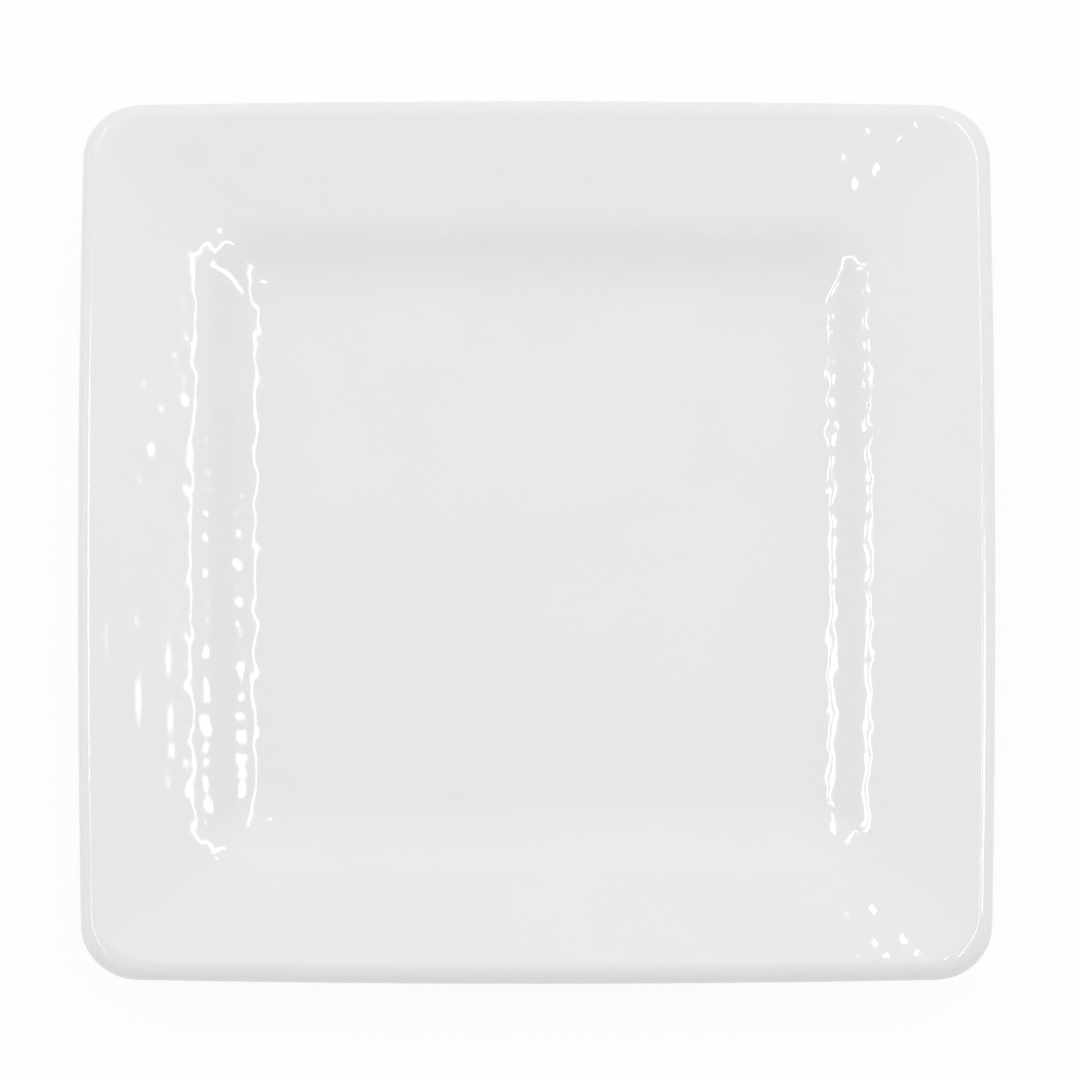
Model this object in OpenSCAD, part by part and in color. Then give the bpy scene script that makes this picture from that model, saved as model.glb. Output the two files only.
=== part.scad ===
// Square dinner plate: a fired clay body on a separate strip of clay for a foot,
// under a skin of glaze that leaves only the foot bare.
// Millimetres, +Z up, origin on the table under the middle of the plate.

/* [Plate] */
// Width over the rim, at the middle of two opposite sides
plate_w = 270; // [230:1:320]
// Radius of the outer corners
corner_r = 17; // [10:1:30]
// How far the middle of each side stands out beyond its two ends
side_bow = 1.2; // [0:0.1:4]
// Thickness of the clay in the floor, the wall and the rim
body_t = 6; // [4.5:0.1:8]
// Thickness of the glaze
glaze_t = 0.4; // [0.2:0.05:0.8]

/* [Rim] */
// Width of the rim, from the outer edge to the edge of the well
rim_w = 37; // [22:1:45]
// Slope of the rim, which climbs outwards, in degrees
rim_angle = 12; // [4:1:16]
// Share of the outer edge's height that its wide upper roll takes
edge_top_share = 0.84; // [0.5:0.01:0.9]

/* [Well] */
// Drop from the edge of the well to its floor
well_depth = 8; // [7:0.5:14]
// Slope of the wall of the well, in degrees
wall_angle = 30; // [22:1:32]
// Radius over the edge of the well
well_edge_r = 26; // [8:1:38]
// Radius where the wall runs out into the floor
floor_r = 30; // [12:1:38]
// Radius under the edge of the well, on the hidden side
under_edge_r = 20; // [8:1:32]

/* [Foot] */
// Height of the foot ring
foot_h = 3.6; // [2.6:0.1:6]
// Thickness of the foot ring
foot_t = 5; // [3.5:0.1:8]
// Radius of the foot ring's outer corners
foot_corner_r = 14; // [10:1:24]
// Rounding of the foot ring's two lower edges
foot_round_r = 1.2; // [0.4:0.1:1.6]
// How far the foot stands in from the edge of the flat underside
foot_inset = 2.5; // [1:0.5:14]
// Width of the bare band between the foot's rounding and the glaze
bare_band = 0.4; // [0.1:0.1:0.9]

/* [Hidden] */
$fn = 64;

// Facets of the lofted skins
corner_steps = 8;
side_steps = 4;
floor_steps = 6;
lip_steps = 4;
roll_steps = 8;
tuck_steps = 4;

// Hairline between the outer glaze and the foot, wider than the glaze's corner facets are deep
glaze_fit = 0.1;
// How far a cut runs past the face it opens
overrun = 1;

// Half-widths: the outside of the glaze and of the clay, the edge of the well and the foot of its wall
half_w = plate_w / 2;
clay_half = half_w - glaze_t;
well_half = half_w - rim_w;
floor_half = well_half - well_depth / tan(wall_angle);
// Half-width of the flat floor, which the flat underside shares
flat_half = floor_half - floor_r * tan(wall_angle / 2);

// Every section of the body has the outline of the rim, drawn smaller in all its parts
corner_share = corner_r / half_w;
bow_share = side_bow / half_w;

// Heights of the flat underside, the floor, the edge of the well and the rim's outer corner
under_z = foot_h;
floor_z = under_z + body_t;
well_z = floor_z + well_depth;
rim_z = well_z + (clay_half - well_half) * tan(rim_angle);

// The outer edge: a wide roll above the outermost line and a tight one below it
edge_h = body_t / cos(rim_angle);
roll_r = edge_top_share * edge_h / tan(45 + rim_angle / 2);
tuck_r = (1 - edge_top_share) * edge_h / tan(45 - rim_angle / 2);

// Corners of the hidden side, one clay thickness from those of the face
lip_mid = (wall_angle + rim_angle) / 2;
lip_reach = body_t / cos((wall_angle - rim_angle) / 2);
under_lip = [well_half + lip_reach * sin(lip_mid), well_z - lip_reach * cos(lip_mid)];
under_floor = [floor_half + body_t * tan(wall_angle / 2), under_z];

// The foot ring and where the glaze on its sides ends
foot_half = flat_half - foot_inset;
foot_inner_half = foot_half - foot_t;
foot_inner_r = foot_corner_r - foot_t;
glaze_end_z = foot_round_r + bare_band;
// Straight length that each corner of the foot ring keeps, inside the sides that join the corners
tail = foot_t;

// Unit vector to the left of a heading, which is the side of the clay that faces the air
function left_of(a) = [-sin(a), cos(a)];

// A rounded corner of the profile at the point v, turning from heading a0 to heading a1.
// Each entry is [half-width, height, heading].
function rounded(v, r, a0, a1, steps) =
    let (turn = a1 > a0 ? 1 : -1,
         reach = r * tan(abs(a1 - a0) / 2),
         start = v - reach * [cos(a0), sin(a0)],
         centre = start + turn * r * left_of(a0))
    [for (i = [0:steps])
        let (a = a0 + (a1 - a0) * i / steps, p = centre - turn * r * left_of(a))
        [p[0], p[1], a]];

// The face from the edge of the flat floor out to the outermost line of the rim
face_path = concat(
    rounded([floor_half, floor_z], floor_r, 0, wall_angle, floor_steps),
    rounded([well_half, well_z], well_edge_r, wall_angle, rim_angle, lip_steps),
    rounded([clay_half, rim_z], roll_r, rim_angle, -90, roll_steps));

// The hidden side from the outermost line in to the edge of the flat underside
under_path = concat(
    rounded([clay_half, rim_z - edge_h], tuck_r, -90, rim_angle - 180, tuck_steps),
    rounded(under_lip, under_edge_r, rim_angle - 180, wall_angle - 180, lip_steps),
    rounded(under_floor, floor_r + body_t, wall_angle - 180, -180, floor_steps));

// A level section: [half-width, height, corner radius, bow of the sides]
function body_section(p) = [p[0], p[1], p[0] * corner_share, p[0] * bow_share];
function foot_section(out, z) = [foot_half + out, z, foot_corner_r + out, 0];

// The same profile point moved out into the air by the distance t
function raised(p, t) = [p[0] - t * sin(p[2]), p[1] + t * cos(p[2]), p[2]];

// The points of one section, counter-clockwise from above
function turned(p, k) = k == 0 ? p : turned([-p[1], p[0]], k - 1);
function section_points(s) =
    let (c = s[0] - s[3] - s[2])
    [for (k = [0:3], p = concat(
        [for (i = [0:corner_steps]) [c + s[2] * cos(90 * i / corner_steps), c + s[2] * sin(90 * i / corner_steps)]],
        [for (i = [1:side_steps - 1]) let (x = 1 - 2 * i / side_steps) [c * x, s[0] - s[3] * x * x]]))
        let (q = turned(p, k)) [q[0], q[1], s[1]]];

ring_n = 4 * (corner_steps + side_steps);

// Triangles between two neighbouring rings of points that start at the indices a and b
function band_faces(a, b) =
    [for (j = [0:ring_n - 1], f = let (n = (j + 1) % ring_n) [[a + j, a + n, b + n], [a + j, b + n, b + j]]) f];

// A solid skinned over sections, with a flat cap on the first and on the last
module capped_loft(sections) {
    last = len(sections) - 1;
    polyhedron(
        points = [for (s = sections) each section_points(s)],
        faces = concat(
            [[for (j = [ring_n - 1:-1:0]) j]],
            [for (i = [0:last - 1]) each band_faces(i * ring_n, (i + 1) * ring_n)],
            [[for (j = [0:ring_n - 1]) last * ring_n + j]]));
}

// A ring-shaped solid skinned over sections that come back round to the first
module looped_loft(sections) {
    count = len(sections);
    polyhedron(
        points = [for (s = sections) each section_points(s)],
        faces = [for (i = [0:count - 1]) each band_faces(i * ring_n, ((i + 1) % count) * ring_n)]);
}

function reversed(list) = [for (i = [len(list) - 1:-1:0]) list[i]];

// The pressed plate itself, without its foot
module clay_body() {
    color("#ece7dd")
    capped_loft([for (p = concat(face_path, under_path)) body_section(p)]);
}

// The glaze on the floor, the wall and the rim, over the roll to the outermost line
module face_glaze() {
    color("#f4f4f5")
    capped_loft(concat(
        [for (p = face_path) body_section(raised(p, glaze_t))],
        [for (p = reversed(face_path)) body_section(p)]));
}

// The glaze from the outermost line under the rim and down the outside of the foot
module underside_glaze() {
    outer = concat(
        [for (p = under_path) body_section(raised(p, glaze_t))],
        [foot_section(glaze_fit + glaze_t, under_z - glaze_t), foot_section(glaze_fit + glaze_t, glaze_end_z)]);
    inner = concat(
        [for (p = under_path) body_section(p)],
        [foot_section(glaze_fit, under_z), foot_section(glaze_fit, glaze_end_z)]);
    color("#eeeef0")
    looped_loft(concat(outer, reversed(inner)));
}

// Cross-section of the foot ring, standing on its rounded edges
module foot_profile() {
    translate([0, foot_round_r]) square([foot_t, foot_h - foot_round_r]);
    translate([foot_round_r, 0]) square([foot_t - 2 * foot_round_r, foot_h]);
    for (x = [foot_round_r, foot_t - foot_round_r]) translate([x, foot_round_r]) circle(r = foot_round_r);
}

// A straight length of the foot ring along Y, at the radius of its corners from the Y axis
module foot_straight(length, centred) {
    rotate([90, 0, 0]) linear_extrude(height = length, center = centred)
        translate([foot_inner_r, 0]) foot_profile();
}

// A quarter turn of the foot ring, with a short straight tail at each end
module foot_corner() {
    rotate_extrude(angle = 90) translate([foot_inner_r, 0]) foot_profile();
    foot_straight(tail, false);
    mirror([1, -1, 0]) foot_straight(tail, false);
}

// The strip of clay that the plate stands on, left bare underneath
module foot_ring() {
    c = foot_half - foot_corner_r;
    color("#d8cfc0")
    for (k = [0:3]) rotate([0, 0, 90 * k]) {
        translate([c, c, 0]) foot_corner();
        translate([c, 0, 0]) foot_straight(2 * c - tail, true);
    }
}

// A square with true round corners, centred
module rounded_square(half, r) {
    square([2 * half, 2 * (half - r)], center = true);
    square([2 * (half - r), 2 * half], center = true);
    for (k = [0:3]) rotate(90 * k) translate([half - r, half - r]) circle(r = r);
}

// The pool of glaze inside the foot, which climbs down the foot's inner side
module base_glaze() {
    color("#eeeef0")
    difference() {
        translate([0, 0, glaze_end_z])
            linear_extrude(height = under_z - glaze_end_z) rounded_square(foot_inner_half, foot_inner_r);
        translate([0, 0, glaze_end_z - overrun])
            linear_extrude(height = under_z - glaze_end_z - glaze_t + overrun)
            rounded_square(foot_inner_half - glaze_t, foot_inner_r - glaze_t);
    }
}

clay_body();
foot_ring();
face_glaze();
underside_glaze();
base_glaze();
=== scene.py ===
# %% [markdown]
# # A square dinner plate
# The plate is pressed clay under a skin of glossy white glaze, and it stands on a foot that is left
# bare. Seen from the front only glaze shows, so nearly all the work goes into one surface: a broad
# rim with a rolled edge, a square well with soft mitres, and the faint ripple of a thick glaze.
# The solid parts come from the frame, and each new piece is laid over the solid that it stands for.

# %% Load the frame
import math

import bmesh
import bpy
from mathutils import Matrix, Vector


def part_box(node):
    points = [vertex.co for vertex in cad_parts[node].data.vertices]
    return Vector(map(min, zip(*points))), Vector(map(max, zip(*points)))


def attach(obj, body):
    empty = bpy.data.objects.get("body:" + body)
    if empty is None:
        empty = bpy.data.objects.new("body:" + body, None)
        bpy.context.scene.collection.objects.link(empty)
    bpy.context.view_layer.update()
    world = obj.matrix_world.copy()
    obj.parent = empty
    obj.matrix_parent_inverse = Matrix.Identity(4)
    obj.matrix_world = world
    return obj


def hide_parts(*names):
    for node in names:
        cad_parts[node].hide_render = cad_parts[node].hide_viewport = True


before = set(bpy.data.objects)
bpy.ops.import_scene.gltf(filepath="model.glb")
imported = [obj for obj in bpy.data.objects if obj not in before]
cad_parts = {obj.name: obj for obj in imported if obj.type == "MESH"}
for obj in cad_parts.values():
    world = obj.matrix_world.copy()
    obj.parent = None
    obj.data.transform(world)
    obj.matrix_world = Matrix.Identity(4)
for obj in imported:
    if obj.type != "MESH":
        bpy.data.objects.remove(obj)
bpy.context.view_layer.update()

mm = 0.001
print("solid parts:", sorted(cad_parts))

# %% [markdown]
# ## Sizes
# The overall sizes are read from the frame, so the glaze follows the solids. The shape of the
# profile can't be read from a box, so its angles and radii are named here, as in the solid model.
# The profile is drawn for the clay, and the glaze is the same line moved out by its thickness.
# Blender counts in metres, so each length is a number times mm. These angles are in degrees.

# %% Sizes
half_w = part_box("face_glaze")[1].x
foot_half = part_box("foot_ring")[1].x
under_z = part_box("foot_ring")[1].z
foot_inner_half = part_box("base_glaze")[1].x
glaze_end_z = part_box("base_glaze")[0].z

glaze_t = 0.4 * mm
body_t = 6 * mm
corner_r = 17 * mm
side_bow = 1.2 * mm
rim_w = 37 * mm
rim_angle = 12
edge_top_share = 0.84
well_depth = 8 * mm
wall_angle = 30
well_edge_r = 26 * mm
floor_r = 30 * mm
under_edge_r = 20 * mm
foot_corner_r = 14 * mm
glaze_fit = 0.1 * mm

foot_t = foot_half - foot_inner_half
clay_half = half_w - glaze_t
well_half = half_w - rim_w
print("half-widths in mm: plate", round(half_w / mm, 2), "well", round(well_half / mm, 2),
      "foot", round(foot_half / mm, 2))

# %% [markdown]
# ## Camera
# The photo looks down on the plate from slightly in front of it, through a long lens: opposite
# sides stay parallel, and the plate is only a little shorter than it is wide. A camera tilted
# 16 degrees from straight down, many metres away, gives that picture. Its lens is as long as it has
# to be for the wanted width to fill the view.

# %% Camera
camera_tilt = math.radians(16)
camera_distance = 12.0
view_w = 317.6 * mm
aim = Vector((1.0 * mm, 2.2 * mm, 14 * mm))

to_camera = Vector((0, -math.sin(camera_tilt), math.cos(camera_tilt)))
bpy.ops.object.camera_add(location=aim + to_camera * camera_distance)
camera = bpy.context.object
camera.name = "camera"
camera.rotation_euler = (camera_tilt, 0, 0)
camera.data.sensor_width = 36
camera.data.lens = camera.data.sensor_width * camera_distance / view_w
camera.data.clip_end = 100
bpy.context.scene.camera = camera
print("lens of", round(camera.data.lens), "mm for a view", round(view_w / mm, 1), "mm wide")

# %% [markdown]
# ## The profile
# Half of the plate's cross-section is one line: out of the floor, up the wall, over the edge of the
# well, up the rim, round the roll and back underneath. Each bend is an arc that is tangent to both
# of its straights. An arc is worked out from its corner point, so a radius can change by itself.
# Every point also keeps the heading of the line there, because the glaze is the same line moved
# square to its heading.
# The corner points come first. The clay is as thick on the wall as on the rim, so a corner of the
# hidden side lies on the line that halves the bend above it. The outer edge is a wide roll over a
# tight tuck, and together they take up the thickness of the rim.

# %% Corners of the profile
floor_z = under_z + body_t
well_z = floor_z + well_depth
floor_half = well_half - well_depth / math.tan(math.radians(wall_angle))
rim_z = well_z + (clay_half - well_half) * math.tan(math.radians(rim_angle))
edge_h = body_t / math.cos(math.radians(rim_angle))
roll_r = edge_top_share * edge_h / math.tan(math.radians(45 + rim_angle / 2))
tuck_r = (1 - edge_top_share) * edge_h / math.tan(math.radians(45 - rim_angle / 2))
lip_mid = math.radians((wall_angle + rim_angle) / 2)
lip_reach = body_t / math.cos(math.radians((wall_angle - rim_angle) / 2))
under_lip = (well_half + lip_reach * math.sin(lip_mid), well_z - lip_reach * math.cos(lip_mid))
under_floor = (floor_half + body_t * math.tan(math.radians(wall_angle / 2)), under_z)
print("floor at", round(floor_z / mm, 2), "mm, edge of the well at", round(well_z / mm, 2), "mm")
print("roll of", round(roll_r / mm, 2), "mm over a tuck of", round(tuck_r / mm, 2), "mm")

# %% Points of a profile
fewest_steps = 2


def arc(corner, r, turn_from, turn_to, step):
    """Points round a bend at corner, from one heading to another in degrees.

    Each point is (half-width, height, heading), with the heading in radians.
    """
    a0, a1 = math.radians(turn_from), math.radians(turn_to)
    way = 1 if a1 > a0 else -1
    reach = r * math.tan(abs(a1 - a0) / 2)
    centre = (corner[0] - reach * math.cos(a0) - way * r * math.sin(a0),
              corner[1] - reach * math.sin(a0) + way * r * math.cos(a0))
    count = max(fewest_steps, math.ceil(r * abs(a1 - a0) / step))
    headings = [a0 + (a1 - a0) * i / count for i in range(count + 1)]
    return [(centre[0] + way * r * math.sin(a), centre[1] - way * r * math.cos(a), a) for a in headings]


def spaced(path, step):
    """The path with its straights cut into lengths of at most step, or a hair more."""
    hair = 0.001
    out = path[:1]
    for p, q in zip(path, path[1:]):
        count = math.ceil(math.dist(p[:2], q[:2]) / step - hair)
        out += [tuple(a + (b - a) * i / count for a, b in zip(p, q)) for i in range(1, count + 1)]
    return out


def raised(path, t):
    """The path moved out into the air by t."""
    return [(u - t * math.sin(a), z + t * math.cos(a), a) for u, z, a in path]


bend = arc((floor_half, floor_z), floor_r, 0, wall_angle, mm)
print("in steps of 1 mm, the bend at the foot of the wall has", len(bend), "points")

# %% [markdown]
# The two sides of the profile are strings of arcs, with points added on the straights between them.
# The rolled edge turns tightly, so its two arcs get a shorter step than the rest.

# %% Face and hidden side
roll_finer = 2
tuck_finer = 6


def face_path(step):
    """The clay's face, from the edge of the flat floor out to the outermost line."""
    bends = (arc((floor_half, floor_z), floor_r, 0, wall_angle, step)
             + arc((well_half, well_z), well_edge_r, wall_angle, rim_angle, step)
             + arc((clay_half, rim_z), roll_r, rim_angle, -90, step / roll_finer))
    return spaced(bends, step)


def hidden_path(step):
    """The clay's hidden side, from the outermost line in to the edge of the flat underside."""
    bends = (arc((clay_half, rim_z - edge_h), tuck_r, -90, rim_angle - 180, step / tuck_finer)
             + arc(under_lip, under_edge_r, rim_angle - 180, wall_angle - 180, step)
             + arc(under_floor, floor_r + body_t, wall_angle - 180, -180, step))
    return spaced(bends, step)


face_step = 1.1 * mm
hidden_step = 3.2 * mm
inside_step = 4 * mm
print("rings on the face:", len(face_path(face_step)), "and underneath:", len(hidden_path(hidden_step)))

# %% [markdown]
# ## The outline
# Seen from above, every level of the plate has the same outline: a square with round corners whose
# sides swell out a little in the middle. It starts as a plane. Beveling its four corner vertices
# makes the round corners, subdividing gives the sides their points, and moving the middle of each
# side with proportional editing makes the swell. The inverse square falloff is a parabola, which
# is the curve that the solid's sides have.

# %% Choosing in edit mode
near = 0.001 * mm


def edit_selection(mode, chosen):
    """In edit mode, selects just the vertices or edges for which chosen(element) is true."""
    bpy.ops.mesh.select_mode(type=mode)
    bpy.ops.mesh.select_all(action="DESELECT")
    mesh = bpy.context.object.data
    bm = bmesh.from_edit_mesh(mesh)
    for element in bm.verts if mode == "VERT" else bm.edges:
        if chosen(element):
            element.select_set(True)
    bm.select_flush_mode()
    bmesh.update_edit_mesh(mesh)


print("places closer than", near / mm, "mm count as one")

# %% Outline
corner_steps = 16
side_cuts = (12, 12)


def add_outline(name, half, height, corner, bow, steps, cuts):
    """A new piece in edit mode that holds one closed outline, with all of it selected."""
    bpy.ops.object.select_all(action="DESELECT")
    bpy.ops.mesh.primitive_plane_add(size=2 * (half - bow), location=(0, 0, height))
    piece = bpy.context.object
    piece.name = piece.data.name = name
    bpy.ops.object.transform_apply(location=True, rotation=True, scale=True)
    bpy.ops.object.mode_set(mode="EDIT")
    bpy.ops.mesh.select_all(action="SELECT")
    bpy.ops.mesh.bevel(offset_type="OFFSET", offset=corner, segments=steps, affect="VERTICES")
    edit_selection("EDGE", lambda e: e.calc_length() > half)
    for count in cuts:
        bpy.ops.mesh.subdivide(number_cuts=count - 1)
    for x, y in ((1, 0), (0, 1), (-1, 0), (0, -1)) if bow else ():
        way = Vector((x, y, 0))
        middle = way * (half - bow) + Vector((0, 0, height))
        edit_selection("VERT", lambda v: (v.co - middle).length < near)
        bpy.ops.transform.translate(value=way * bow, use_proportional_edit=True,
                                    proportional_edit_falloff="INVERSE_SQUARE",
                                    proportional_size=half - bow - corner)
    bpy.ops.mesh.select_mode(type="EDGE")
    bpy.ops.mesh.select_all(action="SELECT")
    bpy.ops.mesh.delete(type="ONLY_FACE")
    bpy.ops.mesh.select_all(action="SELECT")
    return piece


print("points round an outline:", 4 * (corner_steps + math.prod(side_cuts)))

# %% [markdown]
# ## Drawing a shell from rings
# The plate's sides are mitred, so each ring is the outline drawn smaller or larger in all its
# parts. From one ring to the next the edges are extruded up or down and then scaled about the
# middle, and the profile says by how much. The flat part inside the last ring is filled with a
# square grid, or with one face where nothing shows. At the end the faces are wound alike, and
# turned so that they look the right way.

# %% Rings
def run_rings(path):
    """Extrudes the selected ring along the path. Its first entry is where the ring already is."""
    for (u0, z0, _), (u1, z1, _) in zip(path, path[1:]):
        bpy.ops.mesh.extrude_edges_move(TRANSFORM_OT_translate={"value": (0, 0, z1 - z0)})
        bpy.ops.transform.resize(value=(u1 / u0, u1 / u0, 1), center_override=(0, 0, 0))


def body_outline(name, start, steps, cuts):
    """The plate's outline at the first point of a path."""
    share = start[0] / half_w
    return add_outline(name, start[0], start[1], corner_r * share, side_bow * share, steps, cuts)


def fill_with_grid(cells):
    """Fills the selected ring with a square grid whose corners are the middles of the round corners."""
    mesh = bpy.context.object.data
    bm = bmesh.from_edit_mesh(mesh)
    bm.select_history.clear()
    diagonal = (v for v in bm.verts if v.select and v.co.x > 0 and abs(v.co.x - v.co.y) < near)
    bm.select_history.add(next(diagonal))
    bmesh.update_edit_mesh(mesh)
    bpy.ops.mesh.fill_grid(span=cells)


def face_towards(way, point):
    """In edit mode, winds all faces alike, so that the one nearest to a point looks along way."""
    bpy.ops.mesh.select_all(action="SELECT")
    bpy.ops.mesh.normals_make_consistent(inside=False)
    bm = bmesh.from_edit_mesh(bpy.context.object.data)
    nearest = min(bm.faces, key=lambda f: (f.calc_center_median() - Vector(point)).length)
    if nearest.normal.dot(Vector(way)) < 0:
        bpy.ops.mesh.flip_normals()


def leave_edit():
    """Back to object mode, with the number of faces."""
    bpy.ops.object.mode_set(mode="OBJECT")
    return len(bpy.context.object.data.polygons)


side_l = 2 * (half_w - side_bow - corner_r)
print("points along a side are", round(side_l / math.prod(side_cuts) / mm, 2), "mm apart at most")

# %% [markdown]
# ## The outer surface of the glaze
# The rings start underneath, at the edge of the flat part, and run out, round the rolled edge and
# in over the rim and the wall to the floor. The floor is filled with a grid, so that the ripple
# finds points everywhere. The surface is drawn half the ripple's depth inside the glaze's full
# thickness, because the ripple will move it as far out as in.

# %% Outer surface
ripple_depth = 0.34 * mm
skin_t = glaze_t - ripple_depth / 2
outer_path = raised(hidden_path(hidden_step)[::-1] + face_path(face_step)[::-1][1:], skin_t)
outer = body_outline("glaze_skin", outer_path[0], corner_steps, side_cuts)
run_rings(outer_path)
fill_with_grid(corner_steps + math.prod(side_cuts))
face_towards((0, 0, 1), (0, 0, floor_z))
print("outer surface:", leave_edit(), "faces")
outer_side = outer.vertex_groups.new(name="outer_side")
outer_side.add([v.index for v in outer.data.vertices], 1, "REPLACE")

# %% [markdown]
# ## The inner surface of the glaze
# The glaze is a thin skin with two sides. Its inner side lies on the clay and never shows, so it
# has fewer rings and fewer points round each ring, and its floor is one face. The rings can't be
# too few: in the hollow bends a long straight edge would come out through the thin skin.

# %% Inner surface
inner_corner_steps = 8
inner_side_cuts = (6, 6)
inner_path = hidden_path(inside_step)[::-1] + face_path(inside_step)[::-1][1:]
inner = body_outline("glaze_inside", inner_path[0], inner_corner_steps, inner_side_cuts)
run_rings(inner_path)
bpy.ops.mesh.edge_face_add()
face_towards((0, 0, -1), (0, 0, floor_z))
print("inner surface:", leave_edit(), "faces")

# %% [markdown]
# ## Down the outside of the foot
# Glaze runs into the corner between the foot and the underside and fills it a little, covers the
# side of the foot and ends in a soft edge above the table. The foot has an outline of its own, so
# this stretch starts from that outline.

# %% Foot stretch
pool_r = 0.9 * mm
foot_bend_step = 0.3 * mm
bead = 0.5 * glaze_t
bead_inset = 0.3 * bead
side_u = foot_half + glaze_fit + glaze_t
side_z = under_z - skin_t
hidden_u = foot_half + glaze_fit


def soft_end(u, way):
    """The glaze's lower edge, from its surface on a side of the foot round to its underside."""
    return [(u, glaze_end_z + bead, 0), (u + way * bead_inset, glaze_end_z + bead_inset, 0),
            (u + way * bead, glaze_end_z, 0)]


sleeve_path = arc((side_u, side_z), pool_r, 180, 270, foot_bend_step) + soft_end(side_u, -1)
sleeve_path += [(hidden_u, glaze_end_z, 0), (hidden_u, under_z, 0)]
sleeve_u, sleeve_z, _ = sleeve_path[0]
sleeve_corner_r = foot_corner_r + sleeve_u - foot_half
sleeve = add_outline("glaze_foot", sleeve_u, sleeve_z, sleeve_corner_r, 0, corner_steps, side_cuts)
run_rings(sleeve_path)
face_towards((1, 0, 0), (side_u, 0, (side_z - pool_r + glaze_end_z) / 2))
print("foot stretch:", leave_edit(), "faces")

# %% [markdown]
# The foot stretch is joined to the two surfaces by bridging the rings that face each other. Blender
# matches two rings in one plane by the way their faces look, so the faces of all three pieces were
# turned first: to the air outside, and to the clay inside. A closed skin has no open edge, and its
# volume shows whether a bridge is twisted: it is the glaze's area times its thickness.

# %% Joining and bridging
bpy.ops.object.select_all(action="DESELECT")
for piece in (sleeve, inner, outer):
    piece.select_set(True)
bpy.context.view_layer.objects.active = outer
bpy.ops.object.join()
glaze_skin = bpy.context.object

bpy.ops.object.mode_set(mode="EDIT")
for level, cuts in ((side_z, 1), (under_z, 0)):
    edit_selection("EDGE", lambda e: e.is_boundary and all(abs(v.co.z - level) < near for v in e.verts))
    bpy.ops.mesh.bridge_edge_loops(number_cuts=cuts, interpolation="LINEAR")
bpy.ops.mesh.select_all(action="SELECT")
bpy.ops.mesh.normals_make_consistent(inside=False)
bpy.ops.mesh.select_all(action="DESELECT")
bpy.ops.mesh.select_non_manifold()
skin = bmesh.from_edit_mesh(glaze_skin.data)
open_edges = sum(e.select for e in skin.edges)
volume = skin.calc_volume() / mm ** 3
print("glaze skin:", leave_edit(), "faces, open edges:", open_edges, "volume:", round(volume), "cubic mm")

# %% [markdown]
# ## The ripple
# The glaze is thick and lies in soft waves a few millimetres across, which is what makes the
# highlights on the photo waver. The waves are real shape here: a Displace modifier moves the fine
# surface by a cloudy texture, and a vertex group makes the waves strongest on the walls.

# %% Where the ripple is strong
calm_share = 0.25
fade_from = 3 * mm
fade_to = 9 * mm


def soft_step(a, b, x):
    """0 below a, 1 above b, with a soft rise between them."""
    t = min(1, max(0, (x - a) / (b - a)))
    return t * t * (3 - 2 * t)


def on_wall(v):
    """1 at a vertex of the well's wall, 0 on the floor and the rim, soft between."""
    u = max(abs(v.co.x), abs(v.co.y))
    rise = soft_step(floor_half - fade_to, floor_half - fade_from, u)
    return rise * (1 - soft_step(well_half + fade_from, well_half + fade_to, u))


print("the ripple is at full strength from", round((floor_half - fade_from) / mm, 1),
      "to", round((well_half + fade_from) / mm, 1), "mm from the middle")

# %% [markdown]
# ## Dents for single drops of light
# Where the photo has separate drops and streaks of light on the rim, the glaze has small dents: a
# low swell on the left and a hollow on the right of it, and the flank between them leans to the
# lamps on the right. They could be painted as bright spots, but then they would stay in place when
# the light or the view changes, and real ones don't.

# %% Dents
dent_depth = 0.17 * mm
# middle in x and y, reach in x and y, all in mm, and the slope of the flank
dents = [
    (112.6, 127.2, 5.2, 4.0, 0.116), (101.0, 128.0, 4.6, 3.2, 0.073), (100.1, 113.0, 4.8, 4.6, 0.112),
    (93.9, 109.6, 4.4, 4.8, 0.086), (97.5, 125.1, 4.4, 4.8, 0.070), (106.9, 122.2, 4.4, 4.6, 0.066),
    (90.4, 117.3, 4.4, 4.4, 0.068),
    (98.7, -112.1, 4.8, 3.8, 0.106), (90.7, -114.4, 4.4, 3.4, 0.070), (98.9, -123.5, 4.4, 4.4, 0.078),
    (107.8, -121.9, 4.8, 5.4, 0.110), (102.5, -127.9, 5.0, 3.6, 0.084), (112.4, -126.8, 5.4, 4.6, 0.118),
    (94.2, -127.6, 4.4, 3.2, 0.066),
    (-115.7, 47.7, 3.6, 3.6, 0.036), (-110.5, 40.4, 3.6, 3.4, 0.036), (-113.4, 27.6, 5.0, 5.0, 0.040),
    (-116.9, 18.2, 3.6, 3.8, 0.035), (-106.5, 57.0, 3.4, 4.0, 0.030),
    (-116.9, -48.7, 3.8, 17, 0.040), (-108.1, -36.0, 3.8, 12, 0.033), (-107.5, -54.0, 3.8, 10, 0.034),
    (-107.2, -64.0, 4.2, 5.0, 0.034), (-108.1, -73.3, 3.6, 5.0, 0.030), (-117.5, -24.6, 3.4, 6.0, 0.035),
    (-126.4, -31.0, 3.4, 14, 0.036),
]


def dented(v):
    """How far the dents raise a vertex, or sink it when negative, and how much a dent rules there."""
    height = rule = 0
    for middle_x, middle_y, reach_x, reach_y, slope in dents:
        across = v.co.x - middle_x * mm
        away = (across / reach_x / mm) ** 2 + ((v.co.y / mm - middle_y) / reach_y) ** 2
        if away < 1:
            height -= slope * across * (1 - away) ** 2
            rule = max(rule, 1 - away * away)
    return height, rule


print("dents:", len(dents))

# %% [markdown]
# ## Moving the surface
# Each vertex gets a weight for the waves, and one for its height in a swell or its depth in a
# hollow. A Displace modifier moves the surface along its normals by the weights of one group: by
# the weight alone where it has no texture, and by weight and texture together for the waves. The
# waves rest in a dent, or they would break up its drop of light.

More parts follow.
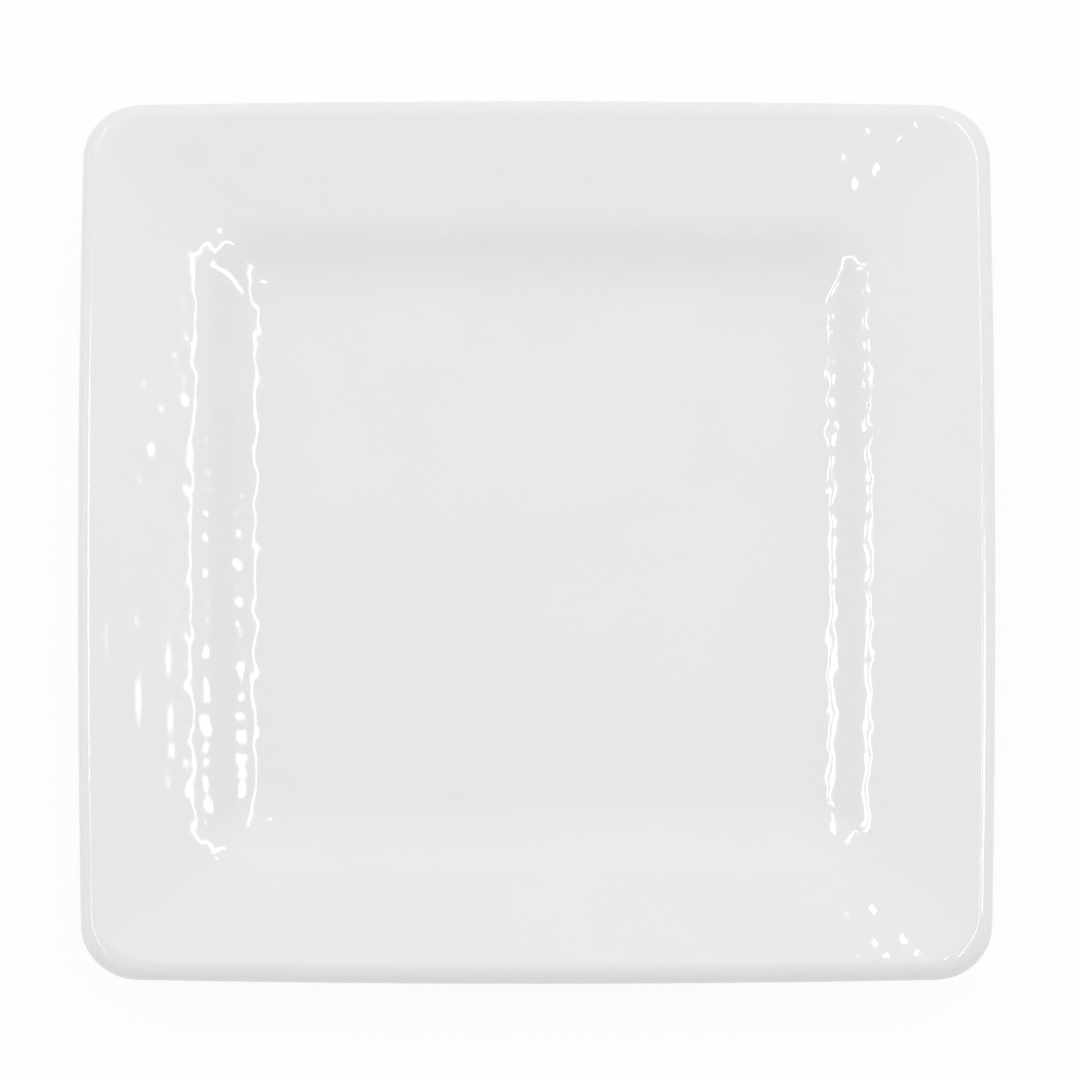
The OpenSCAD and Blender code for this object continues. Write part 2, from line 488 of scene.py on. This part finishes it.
# %% Weights
waving = glaze_skin.vertex_groups["outer_side"]
swells = glaze_skin.vertex_groups.new(name="swells")
hollows = glaze_skin.vertex_groups.new(name="hollows")
smooth_normals = {}
for v in glaze_skin.data.vertices:
    if v.groups:
        height, rule = dented(v) if v.normal.z > 0 else (0, 0)
        wall = on_wall(v) if v.normal.z > 0 else 0
        waving.add([v.index], (calm_share + (1 - calm_share) * wall) * (1 - rule), "REPLACE")
        if height:
            (swells if height > 0 else hollows).add([v.index], abs(height) / dent_depth, "REPLACE")
        smooth_normals[v.index] = v.normal.copy()
print("vertices with weights:", len(smooth_normals))

# %% Displacement
ripple_size = 4.6 * mm
ripple_contrast = 0.85
sharp_angle = math.radians(40)


def displace(group, depth, mid_level, texture=None):
    """Moves the skin along its normals as strongly as a vertex group says, and keeps the result."""
    press = glaze_skin.modifiers.new(group, "DISPLACE")
    press.texture = texture
    press.strength = depth
    press.mid_level = mid_level
    press.vertex_group = group
    bpy.ops.object.modifier_apply(modifier=press.name)


bpy.ops.object.select_all(action="DESELECT")
glaze_skin.select_set(True)
displace("swells", dent_depth, 0)
displace("hollows", -dent_depth, 0)
waves = bpy.data.textures.new("waves", "CLOUDS")
waves.noise_basis = "IMPROVED_PERLIN"
waves.noise_scale = ripple_size
waves.noise_depth = 0
waves.contrast = ripple_contrast
displace("outer_side", ripple_depth, 0.5, waves)
bpy.ops.object.shade_smooth_by_angle(angle=sharp_angle)
print("rippled skin:", len(glaze_skin.data.vertices), "vertices")

# %% How strong the ripple is
# inner and outer end of each stretch of the face, in mm from the middle
stretches = {"floor": (0, 70), "wall": (80, 98), "rim": (102, 128)}
for place, (least, most) in stretches.items():
    leans = []
    for i, smooth in smooth_normals.items():
        v = glaze_skin.data.vertices[i]
        if smooth.z > 0 and least < max(map(abs, v.co.xy)) / mm < most:
            leans.append(v.normal.angle(smooth))
    rms = math.degrees(math.sqrt(sum(a * a for a in leans) / len(leans)))
    print(place, "leans by", round(rms, 2), "degrees rms")

# %% [markdown]
# ## The pool inside the foot
# Inside the foot ring the glaze lies in a shallow pool of its own, turned upside down. Its surface
# climbs the inner side of the foot in a small hollow curve. It is made as the skin was: an
# outline, rings and a grid for the flat part.

# %% Base pool
pool_corner_steps = 8
pool_side_cuts = (6, 6)
pool_u = foot_inner_half - glaze_t
pool_z = under_z - glaze_t
pool_bend_step = 0.2 * mm
pool_margin = 6 * mm
pool_step = 3 * mm
pool_path = [(foot_inner_half, under_z, 0), (foot_inner_half, glaze_end_z, 0)]
pool_path += soft_end(pool_u, 1)[::-1]
pool_path += arc((pool_u, pool_z), pool_r, 90, 180, pool_bend_step)
pool_path = spaced(pool_path + [(pool_u - pool_margin, pool_z, 0)], pool_step)
base_pool = add_outline("base_pool", foot_inner_half, under_z, foot_corner_r - foot_t, 0,
                        pool_corner_steps, pool_side_cuts)
bpy.ops.mesh.edge_face_add()
bpy.ops.mesh.region_to_loop()
run_rings(pool_path)
fill_with_grid(pool_corner_steps + math.prod(pool_side_cuts))
bpy.ops.mesh.select_all(action="SELECT")
bpy.ops.mesh.normals_make_consistent(inside=False)
print("base pool:", leave_edit(), "faces")
bpy.ops.object.shade_smooth_by_angle(angle=sharp_angle)

# %% [markdown]
# ## The glaze finish
# Fired white glaze is a clear glassy coat over a milky one: a pale, very slightly cool white with a
# hard clean shine. Its tone drifts faintly where it lies thicker or thinner, and under a close
# look its surface has a fine orange peel, too small to model, which a weak bump adds.

# %% Glaze finish
def white_glaze():
    """Glossy milky glaze with a faint drift of tone and a fine orange peel."""
    material = bpy.data.materials.new("white_glaze")
    material.use_nodes = True
    nodes, links = material.node_tree.nodes, material.node_tree.links
    shader = nodes["Principled BSDF"]
    shader.inputs["Roughness"].default_value = 0.08
    shader.inputs["IOR"].default_value = 1.5
    place = nodes.new("ShaderNodeTexCoord")

    drift = nodes.new("ShaderNodeTexNoise")
    drift.inputs["Scale"].default_value = 30
    drift.inputs["Detail"].default_value = 3
    tones = nodes.new("ShaderNodeValToRGB")
    tones.color_ramp.elements[0].position = 0.3
    tones.color_ramp.elements[0].color = (0.809, 0.807, 0.829, 1)
    tones.color_ramp.elements[1].position = 0.7
    tones.color_ramp.elements[1].color = (0.819, 0.817, 0.838, 1)
    links.new(place.outputs["Object"], drift.inputs["Vector"])
    links.new(drift.outputs["Fac"], tones.inputs["Fac"])
    links.new(tones.outputs["Color"], shader.inputs["Base Color"])

    peel = nodes.new("ShaderNodeTexNoise")
    peel.inputs["Scale"].default_value = 450
    peel.inputs["Detail"].default_value = 2
    bump = nodes.new("ShaderNodeBump")
    bump.inputs["Strength"].default_value = 0.3
    bump.inputs["Distance"].default_value = 0.02 * mm
    links.new(place.outputs["Object"], peel.inputs["Vector"])
    links.new(peel.outputs["Fac"], bump.inputs["Height"])
    links.new(bump.outputs["Normal"], shader.inputs["Normal"])
    return material


glaze = white_glaze()
for piece in (glaze_skin, base_pool):
    piece.data.materials.clear()
    piece.data.materials.append(glaze)
print("glaze on", glaze_skin.name, "and", base_pool.name)

# %% [markdown]
# ## Bare clay
# The foot's standing face is wiped clean of glaze before firing, so the fired clay shows there: dry,
# warm and a little grainy, with fine dark specks. The body under the glaze is the same clay, and
# gets the same finish in a paler tone, although nothing shows of it.

# %% Clay finish
def fired_clay(name, pale, dark):
    """Dry fired clay: grain in the tone, fine specks and a gritty bump."""
    material = bpy.data.materials.new(name)
    material.use_nodes = True
    nodes, links = material.node_tree.nodes, material.node_tree.links
    shader = nodes["Principled BSDF"]
    shader.inputs["Roughness"].default_value = 0.85
    shader.inputs["Specular IOR Level"].default_value = 0.25
    place = nodes.new("ShaderNodeTexCoord")

    grain = nodes.new("ShaderNodeTexNoise")
    grain.inputs["Scale"].default_value = 900
    grain.inputs["Detail"].default_value = 4
    tones = nodes.new("ShaderNodeValToRGB")
    tones.color_ramp.elements[0].position = 0.32
    tones.color_ramp.elements[0].color = (*dark, 1)
    tones.color_ramp.elements[1].position = 0.55
    tones.color_ramp.elements[1].color = (*pale, 1)
    links.new(place.outputs["Object"], grain.inputs["Vector"])
    links.new(grain.outputs["Fac"], tones.inputs["Fac"])
    links.new(tones.outputs["Color"], shader.inputs["Base Color"])

    bump = nodes.new("ShaderNodeBump")
    bump.inputs["Strength"].default_value = 0.5
    bump.inputs["Distance"].default_value = 0.05 * mm
    links.new(grain.outputs["Fac"], bump.inputs["Height"])
    links.new(bump.outputs["Normal"], shader.inputs["Normal"])
    return material


def finish_node(node, material):
    """Gives a solid from the frame its finish."""
    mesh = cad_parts[node].data
    mesh.materials.clear()
    mesh.materials.append(material)


finish_node("foot_ring", fired_clay("bare_clay", (0.72, 0.67, 0.59), (0.56, 0.50, 0.42)))
finish_node("clay_body", fired_clay("clay", (0.79, 0.75, 0.69), (0.66, 0.61, 0.54)))
print("clay on foot_ring and clay_body")

# %% [markdown]
# ## Pieces and frame
# Every new piece rides on the frame's one body and says which solids it stands for, and those solids are
# hidden.

# %% Tie the pieces to the frame
for piece, nodes in ((glaze_skin, ("face_glaze", "underside_glaze")), (base_pool, ("base_glaze",))):
    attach(piece, "root")
    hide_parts(*nodes)
    print(piece.name, "stands for", nodes)

# %% [markdown]
# ## Floor
# The photo's plate lies on plain white. The floor is a wide plane that shows nearly white to the
# camera and to reflections, with a small share of plain diffuse left in it, so that it still keeps
# the plate's soft shadow. For all other light it is an ordinary pale floor.

# %% Floor
floor_w = 60
white_share = 0.92

bpy.ops.object.select_all(action="DESELECT")
bpy.ops.mesh.primitive_plane_add(size=floor_w)
floor = bpy.context.object
floor.name = "floor"


def seen_directly(nodes, links):
    """A node output that is 1 for rays that show a background: camera, glossy and transmission rays."""
    ray = nodes.new("ShaderNodeLightPath")
    total = nodes.new("ShaderNodeMath")
    total.operation = "ADD"
    clamped = nodes.new("ShaderNodeMath")
    clamped.operation = "ADD"
    clamped.use_clamp = True
    links.new(ray.outputs["Is Camera Ray"], total.inputs[0])
    links.new(ray.outputs["Is Glossy Ray"], total.inputs[1])
    links.new(total.outputs[0], clamped.inputs[0])
    links.new(ray.outputs["Is Transmission Ray"], clamped.inputs[1])
    return clamped.outputs[0]


def floor_finish():
    """Pale floor that shows almost white and keeps a soft shadow."""
    material = bpy.data.materials.new("pale_floor")
    material.use_nodes = True
    nodes, links = material.node_tree.nodes, material.node_tree.links
    nodes.clear()
    plain = nodes.new("ShaderNodeBsdfDiffuse")
    plain.inputs["Color"].default_value = (0.94, 0.94, 0.94, 1)
    white = nodes.new("ShaderNodeEmission")
    white.inputs["Strength"].default_value = 1.0
    share = nodes.new("ShaderNodeMath")
    share.operation = "MULTIPLY"
    share.inputs[1].default_value = white_share
    mix = nodes.new("ShaderNodeMixShader")
    out = nodes.new("ShaderNodeOutputMaterial")
    links.new(seen_directly(nodes, links), share.inputs[0])
    links.new(share.outputs[0], mix.inputs["Fac"])
    links.new(plain.outputs[0], mix.inputs[1])
    links.new(white.outputs[0], mix.inputs[2])
    links.new(mix.outputs[0], out.inputs["Surface"])
    return material


floor.data.materials.append(floor_finish())
print("floor of", floor_w, "m,", white_share, "of it white to the camera")

# %% [markdown]
# ## World
# The room gives most of the light. It is dim near the horizon and brighter overhead, and brighter
# again toward the back and the front than toward the two sides. That makes the tones of the photo:
# the wall of the well that faces the viewer is darkest, the two that face the sides come next, and
# the wall that faces the back of the room is brightest. The camera itself sees a white room.

# %% World
world = bpy.data.worlds.new("studio")
bpy.context.scene.world = world
world.use_nodes = True
world_nodes, world_links = world.node_tree.nodes, world.node_tree.links
world_nodes.clear()
horizon_light = 0.24
overhead_light = 0.57
back_light = 0.66
front_light = 0.40
direction = world_nodes.new("ShaderNodeTexCoord")
parts = world_nodes.new("ShaderNodeSeparateXYZ")
world_links.new(direction.outputs["Generated"], parts.inputs[0])


def level_towards(axis, end, least, most):
    """A node output that goes from least to most as the direction turns to one end of an axis."""
    level = world_nodes.new("ShaderNodeMapRange")
    level.inputs["From Max"].default_value = end
    level.inputs["To Min"].default_value = least
    level.inputs["To Max"].default_value = most
    world_links.new(parts.outputs[axis], level.inputs["Value"])
    return level.outputs["Result"]


levels = [level_towards("Z", 1, horizon_light, overhead_light), level_towards("Y", 1, 0, back_light),
          level_towards("Y", -1, 0, front_light)]
while len(levels) > 1:
    total = world_nodes.new("ShaderNodeMath")
    world_links.new(levels.pop(), total.inputs[0])
    world_links.new(levels.pop(), total.inputs[1])
    levels.append(total.outputs[0])
room = world_nodes.new("ShaderNodeBackground")
room.inputs["Color"].default_value = (1, 1, 1, 1)
backdrop = world_nodes.new("ShaderNodeBackground")
backdrop.inputs["Color"].default_value = (1, 1, 1, 1)
backdrop.inputs["Strength"].default_value = 1.0
ray = world_nodes.new("ShaderNodeLightPath")
world_mix = world_nodes.new("ShaderNodeMixShader")
world_out = world_nodes.new("ShaderNodeOutputWorld")
world_links.new(levels[0], room.inputs["Strength"])
world_links.new(ray.outputs["Is Camera Ray"], world_mix.inputs["Fac"])
world_links.new(room.outputs[0], world_mix.inputs[1])
world_links.new(backdrop.outputs[0], world_mix.inputs[2])
world_links.new(world_mix.outputs[0], world_out.inputs["Surface"])
print("light of the room:", overhead_light, "overhead,", horizon_light + back_light, "at the back")

# %% [markdown]
# ## Lamps
# Three low softboxes stand in front of the plate and at its two sides, and lift the rolled edge.
# Long thin strips on both sides draw the wavering lines along the edges of the well. Oval panels
# beside the strips break into spots on the walls, and two small spots over the right side show up
# in the dents as drops. Brightness is how bright a rectangular lamp looks, where 1 is white. An
# oval fills less area than its rectangle, so it looks about a quarter brighter than its number.

# %% Lamps
facing_z = 15 * mm


def lamp(name, at, width, length, brightness, facing=(0, 0, facing_z), shape="RECTANGLE"):
    """A flat lamp, its length along the plate's Y as nearly as it can be."""
    bpy.ops.object.light_add(type="AREA", location=at)
    light = bpy.context.object
    light.name = name
    light.data.shape = shape
    light.data.size = width
    light.data.size_y = length
    light.data.energy = brightness * math.pi * width * length
    z = (Vector(at) - Vector(facing)).normalized()
    y = (Vector((0, 1, 0)) - z * z.y).normalized()
    light.rotation_euler = Matrix((y.cross(z), y, z)).transposed().to_euler()
    light.visible_camera = False


lamp("front_softbox", (0.0, -2.4, 0.6), 2.4, 1.0, 0.30)
lamp("left_softbox", (-2.4, 0.0, 0.6), 1.0, 2.4, 0.73)
lamp("right_softbox", (2.4, 0.0, 0.6), 1.0, 2.4, 0.67)
lamp("right_strip", (0.43, 0.25, 1.08), 0.05, 1.20, 10)
lamp("left_strip", (-0.65, 0.0, 0.93), 0.045, 0.80, 10)
lamp("left_far_strip", (-0.65, 0.80, 0.93), 0.04, 0.40, 11, facing=(0, 0.80, facing_z))
lamp("right_panel", (0.69, 0.205, 0.82), 0.24, 0.15, 6, shape="ELLIPSE")
lamp("left_panel", (-0.66, 0.25, 0.76), 0.08, 0.16, 8, shape="ELLIPSE")
lamp("back_spot", (0.203, -0.018, 1.0), 0.05, 0.05, 12, shape="ELLIPSE")
lamp("front_spot", (0.214, 0.70, 1.0), 0.06, 0.06, 12, shape="ELLIPSE")

# %% [markdown]
# ## Last steps
# The view transform stays plain, so colours render as they are written.

# %% Finish
bpy.context.scene.view_settings.view_transform = "Standard"
